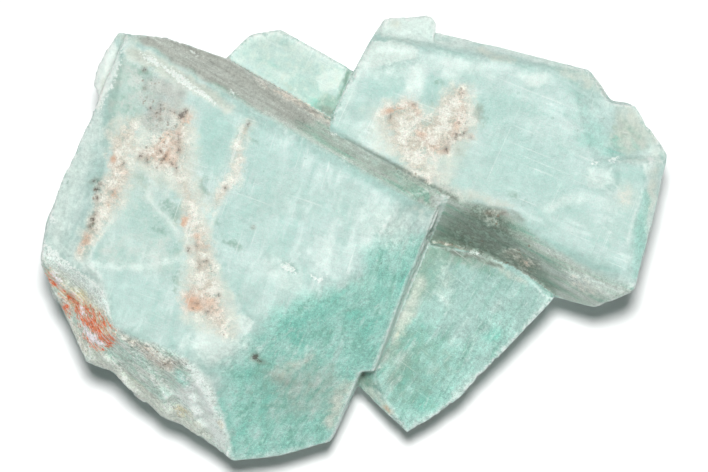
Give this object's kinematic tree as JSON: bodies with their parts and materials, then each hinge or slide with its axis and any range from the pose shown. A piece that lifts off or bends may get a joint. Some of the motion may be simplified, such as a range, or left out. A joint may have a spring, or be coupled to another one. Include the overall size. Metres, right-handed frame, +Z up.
{
  "type": "rough amazonite crystal cluster",
  "caption": "Cluster of blocky, intergrown blue-green amazonite crystals with pale mottling and rusty veins, lying on its broken underside; a display or study specimen.",
  "frame": {"origin": "middle of the bounding box's base, on the plane that the cluster rests on", "axes": "+Z up from the resting plane, +X along the cluster's length from the big crystal to the right crystal, +Y across it towards the small crystal at the back"},
  "size_m": [0.0816, 0.0582, 0.0314],
  "materials": {
    "amazonite": "natural crystal faces, satin to waxy, pale blue-green mottled with white, with cream and rust-coloured veins, greyish side faces and a rough, paler fracture"
  },
  "bodies": {
    "root": {"amazonite_cluster": "amazonite"}
  },
  "joints": []
}
